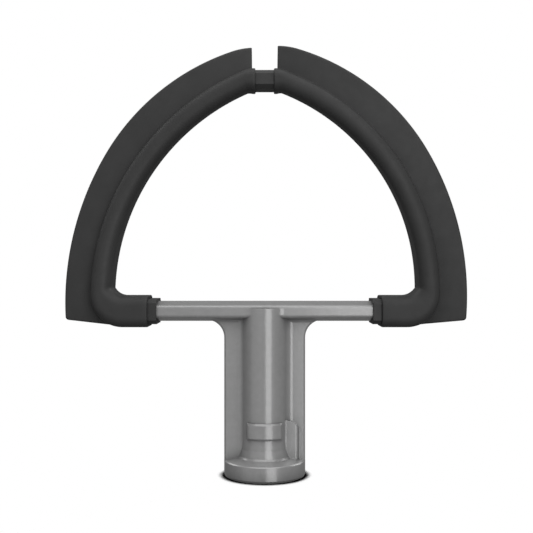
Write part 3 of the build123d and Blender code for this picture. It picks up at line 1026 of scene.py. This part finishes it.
def point_row(name: str, places: Sequence[Vector], roles: dict[EdgeRole, list]) -> bpy.types.Object:
    """A loose row of points that carries named vectors for the sweep.

    Args:
        name: The helper's name.
        places: The points.
        roles: One list of vectors for each role.

    Returns:
        The helper object.
    """
    mesh = bpy.data.meshes.new(name)
    mesh.from_pydata([tuple(place) for place in places], [], [])
    for role, vectors in roles.items():
        flat = [float(number) for vector in vectors for number in vector]
        mesh.attributes.new(role.value, "FLOAT_VECTOR", "POINT").data.foreach_set("vector", flat)
    return new_object(name, mesh)


@dataclass
class SiliconeEdge:
    """Sleeve and blade in one piece, swept along the bow by a node tree.

    Args:
        side: Which of the two edges this is.
        rule: The bow's line and sizes.
        section: The edge's section.
        finish: The silicone.
        presence_reach: Reach from which on the blade has its full crease and root.
        weld: Distance within which points of the sweep are one.
        sliver: Length below which an edge of the mesh is dissolved.
        sharp_turn: Turn between two faces from which on their edge is sharp.
    """

    side: Side
    rule: BowRule = BowRule()
    section: EdgeSection = EdgeSection()
    finish: GreyFinish = SOFT_SILICONE
    presence_reach: float = 1.5 * MM
    weld: float = 0.004 * MM
    sliver: float = 0.001 * MM
    sharp_turn: float = radians(40.0)

    def spine(self) -> bpy.types.Object:
        """The bow's rings as a helper object.

        Returns:
            A row with one point for each ring, which carries its width, depth and blade.
        """
        rule = self.rule
        outline = rule.blade_outline()
        places = []
        roles = {role: [] for role in (EdgeRole.ACROSS, EdgeRole.ROOT, EdgeRole.REACH, EdgeRole.GAUGE)}
        for ring in rule.rings():
            front = rule.bow_front(ring.share)
            across = ring.outer - ring.inner
            reach = rule.blade_reach(ring, outline)
            edge = ring.outer + across.normalized() * reach
            root_front = rule.sheet_front(ring.outer) if ring.bladed else front
            edge_front = rule.sheet_front(edge) if ring.bladed else front
            presence = min(1.0, reach / self.presence_reach)
            out = edge - ring.outer
            places.append(Vector((ring.inner.x, -front, ring.inner.y)))
            roles[EdgeRole.ACROSS].append((across.x, 0.0, across.y))
            roles[EdgeRole.ROOT].append((0.0, (front - root_front) * presence, 0.0))
            roles[EdgeRole.REACH].append((out.x, root_front - edge_front, out.y))
            roles[EdgeRole.GAUGE].append((rule.depth(ring.share), presence, ring.inset))
        return point_row("bow_spine", places, roles)

    def profile(self) -> bpy.types.Object:
        """The section's points as a helper object.

        Returns:
            A row with one point for each point of the section.
        """
        points = self.section.points()
        roles = {
            EdgeRole.SHARE: [point.share for point in points],
            EdgeRole.SLIP: [point.slip for point in points],
            EdgeRole.WING: [point.wing for point in points],
            EdgeRole.SIDE: [point.side for point in points],
        }
        return point_row("edge_section", [Vector((0, 0, 0))] * len(points), roles)

    def sweep_tree(self) -> bpy.types.NodeTree:
        """The tree that lays the section on every ring.

        Returns:
            The node tree, with named inputs for its sizes.
        """
        tree = bpy.data.node_groups.new("edge_sweep", "GeometryNodeTree")
        face = tree.interface
        face.new_socket("Mesh", in_out="OUTPUT", socket_type="NodeSocketGeometry")
        for name, kind in (
            ("Spine", "Object"),
            ("Section", "Object"),
            ("Rings", "Int"),
            ("Section Points", "Int"),
            ("Root Thickness", "Float"),
            ("Edge Thickness", "Float"),
            ("Taper Length", "Float"),
            ("Finish", "Material"),
        ):
            face.new_socket(name, in_out="INPUT", socket_type=f"NodeSocket{kind}")
        nodes = NodeWriter(tree)
        sizes = nodes.add("NodeGroupInput").outputs
        around = nodes.whole("ADD", sizes["Section Points"], 1)
        grid = nodes.add("GeometryNodeMeshGrid", {"Vertices X": sizes["Rings"], "Vertices Y": around})
        index = nodes.add("GeometryNodeInputIndex").outputs[0]
        ring = nodes.whole("DIVIDE_FLOOR", index, around)
        point = nodes.whole("MODULO", nodes.whole("MODULO", index, around), sizes["Section Points"])
        spine = nodes.carried(sizes["Spine"], ring)
        section = nodes.carried(sizes["Section"], point)
        form = grid.outputs["Mesh"]
        for kind, inputs in (
            ("SetPosition", {"Position": self.swept_place(nodes, sizes, spine, section)}),
            ("MergeByDistance", {"Distance": self.weld}),
            ("RealizeInstances", {}),
            ("SetMaterial", {"Material": sizes["Finish"]}),
        ):
            form = nodes.add(f"GeometryNode{kind}", {"Geometry": form, **inputs}).outputs[0]
        nodes.add("NodeGroupOutput", {0: form})
        return tree

    def swept_place(
        self,
        nodes: NodeWriter,
        sizes: bpy.types.NodeOutputs,
        spine: Callable[[EdgeRole | None], bpy.types.NodeSocket],
        section: Callable[[EdgeRole | None], bpy.types.NodeSocket],
    ) -> bpy.types.NodeSocket:
        """Place of one section point on one ring.

        Args:
            nodes: Writer of the tree.
            sizes: The tree's inputs.
            spine: Reads a vector of the ring, or its place for None.
            section: Reads a vector of the section point.

        Returns:
            The place.
        """
        across, reach = spine(EdgeRole.ACROSS), spine(EdgeRole.REACH)
        depth, presence, inset = nodes.parts(spine(EdgeRole.GAUGE))
        width_share, reach_share, depth_share = nodes.parts(section(EdgeRole.SHARE))
        slip_across, slip_front, at_root = nodes.parts(section(EdgeRole.SLIP))
        wing_across, wing_out, halves = nodes.parts(section(EdgeRole.WING))
        side_across, side_front, _ = nodes.parts(section(EdgeRole.SIDE))

        length = nodes.add("ShaderNodeVectorMath", {0: reach}, operation="LENGTH").outputs["Value"]
        grown = nodes.math("MULTIPLY", length, reach_share)
        taper = nodes.math("MINIMUM", nodes.math("DIVIDE", grown, sizes["Taper Length"]), 1.0)
        thinner = nodes.math("SUBTRACT", sizes["Edge Thickness"], sizes["Root Thickness"])
        thickness = nodes.math("MULTIPLY_ADD", thinner, taper, sizes["Root Thickness"])
        half_blade = nodes.math("MULTIPLY", nodes.math("MULTIPLY", thickness, 0.5), halves)

        outwards = nodes.math("MULTIPLY_ADD", wing_across, presence, slip_across)
        outwards = nodes.math("SUBTRACT", outwards, nodes.math("MULTIPLY", inset, side_across))
        forwards = nodes.math("MULTIPLY_ADD", nodes.math("MULTIPLY", depth, 0.5), depth_share, slip_front)
        forwards = nodes.math("SUBTRACT", forwards, nodes.math("MULTIPLY", inset, side_front))
        forwards = nodes.math("ADD", forwards, half_blade)

        place = spine(None)
        for vector, factor in (
            (across, width_share),
            (nodes.vector("NORMALIZE", across), outwards),
            (reach, reach_share),
            (nodes.vector("NORMALIZE", reach), nodes.math("MULTIPLY", wing_out, presence)),
            (spine(EdgeRole.ROOT), at_root),
            (FRONT, forwards),
        ):
            place = nodes.vector("ADD", place, nodes.scaled(vector, factor))
        return place

    def swept_mesh(self) -> bpy.types.Mesh:
        """Runs the tree on a carrier and clears its helpers away.

        Returns:
            The tree's result as a plain mesh.
        """
        spine, profile = self.spine(), self.profile()
        carrier = new_object("edge_carrier", bpy.data.meshes.new("edge_carrier"))
        sweep = carrier.modifiers.new("Sweep", "NODES")
        sweep.node_group = self.sweep_tree()
        values = {
            "Spine": spine,
            "Section": profile,
            "Rings": len(spine.data.vertices),
            "Section Points": len(profile.data.vertices),
            "Root Thickness": self.section.root_thickness,
            "Edge Thickness": self.section.edge_thickness,
            "Taper Length": self.rule.blade_width,
            "Finish": self.finish.build(),
        }
        for item in sweep.node_group.interface.items_tree:
            if item.in_out == "INPUT":
                sweep[item.identifier] = values[item.name]
        evaluated = carrier.evaluated_get(bpy.context.evaluated_depsgraph_get())
        mesh = bpy.data.meshes.new_from_object(evaluated)
        carrier.modifiers.remove(sweep)
        for helper in (carrier, spine, profile):
            bpy.data.objects.remove(helper)
        return mesh

    def build(self) -> bpy.types.Object:
        """Makes the edge, closed at both lips, and lets it stand for its solid.

        Returns:
            The edge.
        """
        mesh = self.swept_mesh()
        form = bmesh.new()
        form.from_mesh(mesh)
        bmesh.ops.remove_doubles(form, verts=form.verts, dist=self.weld)
        bmesh.ops.dissolve_degenerate(form, edges=form.edges, dist=self.sliver)
        bmesh.ops.holes_fill(form, edges=[edge for edge in form.edges if edge.is_boundary])
        bmesh.ops.recalc_face_normals(form, faces=form.faces)
        form.transform(Matrix.Rotation(self.side.value, 4, "Z"))
        form.to_mesh(mesh)
        form.free()
        mesh.shade_smooth()
        mesh.set_sharp_from_angle(angle=self.sharp_turn)
        mesh.name = f"{self.side.name.lower()}_edge_form"
        edge = new_object(mesh.name, mesh)
        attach(edge, "root")
        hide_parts(self.side.node)
        return edge


# The pieces that keep their solids


@dataclass
class PackedPiece:
    """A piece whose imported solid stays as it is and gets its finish.

    Args:
        node: The solid's name.
        finish: What its surface is like.
    """

    node: str
    finish: GreyFinish

    def dress(self, solids: Mapping[str, bpy.types.Object]) -> bpy.types.Object:
        """Puts the finish on the whole solid.

        Args:
            solids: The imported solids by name.

        Returns:
            The dressed solid.
        """
        solid = solids[self.node]
        solid.data.materials.clear()
        solid.data.materials.append(self.finish.build())
        return solid


@dataclass
class CastHub(PackedPiece):
    """The cast metal tee with the grey coat on it."""

    node: str = "hub_casting"
    finish: GreyFinish = COATED_METAL


@dataclass
class StiffFrame(PackedPiece):
    """The moulded loop, seen as the small cuffs and as the bar in the gap at the top."""

    node: str = "loop_frame"
    finish: GreyFinish = STIFF_PLASTIC


# The studio


@dataclass(frozen=True)
class Photograph:
    """How the photograph was framed, in its own pixels and in metres.

    Args:
        size: Width and height of the picture in pixels.
        axis_column: Column of the beater's axis.
        base_row: Row of the beater's base at its middle plane.
        pixel: Metres per pixel at the middle plane.
        distance: From the lens to the middle plane.
        sensor: Width of the camera's sensor in millimetres.
        nearest: Distance from which on the camera sees, in metres.
        farthest: Distance up to which it sees.
    """

    size: float = 533.0
    axis_column: float = 264.7
    base_row: float = 474.5
    pixel: float = 0.3485 * MM
    distance: float = 305.0 * MM
    sensor: float = 36.0
    nearest: float = 0.01
    farthest: float = 20.0

    def camera(self) -> bpy.types.Object:
        """Makes the camera level in front of the beater, as high as the picture's middle.

        Returns:
            The camera.
        """
        data = bpy.data.cameras.new("photo_camera")
        data.sensor_width = self.sensor
        data.lens = self.distance / self.pixel / self.size * self.sensor
        data.clip_start, data.clip_end = self.nearest, self.farthest
        camera = new_object("photo_camera", data)
        across = (self.size / 2 - self.axis_column) * self.pixel
        height = (self.base_row - self.size / 2) * self.pixel
        camera.location = (across, -self.distance, height)
        camera.rotation_euler = (pi / 2, 0.0, 0.0)
        return camera


@dataclass(frozen=True)
class SoftBox:
    """A rectangular studio lamp that faces the beater and stays out of the picture.

    Args:
        name: The lamp's name.
        place: Where it hangs, in metres.
        size: Its width and height in metres.
        power: Its power in watts.
        aim: The point that it faces.
    """

    name: str
    place: tuple[float, float, float]
    size: tuple[float, float]
    power: float
    aim: tuple[float, float, float] = (0.0, 0.0, 0.035)

    def hang(self) -> bpy.types.Object:
        """Makes the lamp.

        Returns:
            The lamp.
        """
        data = bpy.data.lights.new(self.name, "AREA")
        data.shape = "RECTANGLE"
        data.size, data.size_y = self.size
        data.energy = self.power
        lamp = new_object(self.name, data)
        lamp.location = self.place
        away = Vector(self.place) - Vector(self.aim)
        lamp.rotation_euler = away.to_track_quat("Z", "Y").to_euler()
        lamp.visible_camera = False
        return lamp


@dataclass
class Studio:
    """The camera, the sweep, the lamps and the light all round.

    Args:
        photograph: How the picture is framed.
        paper: The sweep's material.
        lamps: The lamps.
        ambient: Strength of the even light all round.
        floor_reach: How far the sweep goes to each side, in metres.
    """

    photograph: Photograph = Photograph()
    paper: PaperFloor = PaperFloor()
    lamps: Sequence[SoftBox] = (
        SoftBox("key_softbox", (0.286, -0.832, 0.222), (0.48, 1.12), 6.6),
        SoftBox("fill_softbox", (-0.57, -0.679, 0.191), (0.94, 1.0), 1.6),
        SoftBox("top_softbox", (0.0, -0.2, 0.9), (0.9, 1.0), 7.0),
        SoftBox("left_back_softbox", (-0.53, 0.44, 0.61), (0.6, 0.5), 2.6),
        SoftBox("right_back_softbox", (0.53, 0.44, 0.61), (0.6, 0.5), 2.6),
    )
    ambient: float = 0.17
    floor_reach: float = 6.0

    def floor(self) -> bpy.types.Object:
        """Lays the sweep under the collar.

        Returns:
            The floor.
        """
        mesh = bpy.data.meshes.new("floor")
        reach = self.floor_reach
        outline = [(-reach, -reach, 0), (reach, -reach, 0), (reach, reach, 0), (-reach, reach, 0)]
        mesh.from_pydata(outline, [], [(0, 1, 2, 3)])
        mesh.materials.append(self.paper.build())
        floor = new_object("floor", mesh)
        return floor

    def sky(self) -> bpy.types.World:
        """Makes the even light all round, white to the eye.

        Returns:
            The world.
        """
        world = bpy.data.worlds.new("studio_air")
        nodes = shader_tree(world)
        strength = nodes.math("MAXIMUM", nodes.seen(), self.ambient)
        air = nodes.add("ShaderNodeBackground", {"Color": (1.0, 1.0, 1.0, 1.0), "Strength": strength})
        nodes.add("ShaderNodeOutputWorld", {"Surface": air.outputs[0]})
        bpy.context.scene.world = world
        return world

    def build(self) -> None:
        """Sets up camera, floor, lamps and air."""
        scene = bpy.context.scene
        scene.camera = self.photograph.camera()
        scene.view_settings.view_transform = "Standard"
        self.floor()
        self.sky()
        for lamp in self.lamps:
            lamp.hang()
            LOG.info("lamp %s, %.1f W", lamp.name, lamp.power)


def main() -> None:
    """Loads the solids, dresses them, and builds the edges and the studio."""
    logging.basicConfig(level=logging.INFO, format="%(name)s: %(message)s")
    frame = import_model()
    nodes = frame["nodes"]
    for piece in (CastHub(), StiffFrame()):
        solid = piece.dress(nodes)
        LOG.info("dressed %s, %d faces", solid.name, len(solid.data.polygons))
    for side in Side:
        edge = SiliconeEdge(side).build()
        LOG.info("built %s, %d faces", edge.name, len(edge.data.polygons))
    Studio().build()


if __name__ == "__main__":
    main()
